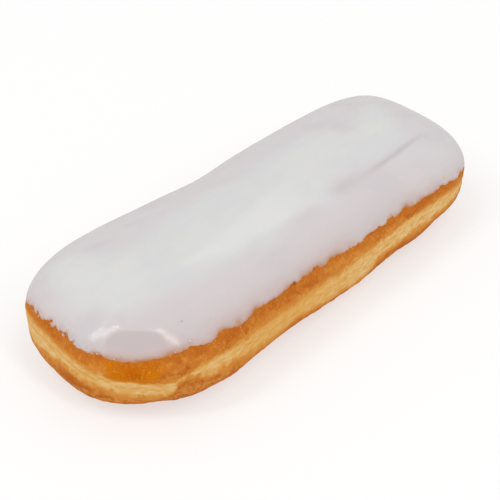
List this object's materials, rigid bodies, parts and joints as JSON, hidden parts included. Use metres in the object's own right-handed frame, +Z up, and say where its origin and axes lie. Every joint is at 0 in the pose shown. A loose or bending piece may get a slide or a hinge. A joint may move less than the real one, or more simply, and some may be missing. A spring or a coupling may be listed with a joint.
{
  "type": "long john doughnut",
  "caption": "Bar-shaped yeast doughnut with rounded ends, a browned crust with a pale line round its side, and a smooth white icing cap.",
  "frame": {"origin": "centre of the flat underside, below the middle of the bounding box", "axes": "+X along the bar towards its squarer end, +Z up"},
  "size_m": [0.151, 0.0594, 0.0288],
  "materials": {
    "crust": "golden brown fried crust, matt, with a pale line round the side",
    "icing": "white sugar icing, smooth and softly glossy"
  },
  "bodies": {
    "root": {"dough": "crust", "icing": "icing"}
  },
  "joints": []
}
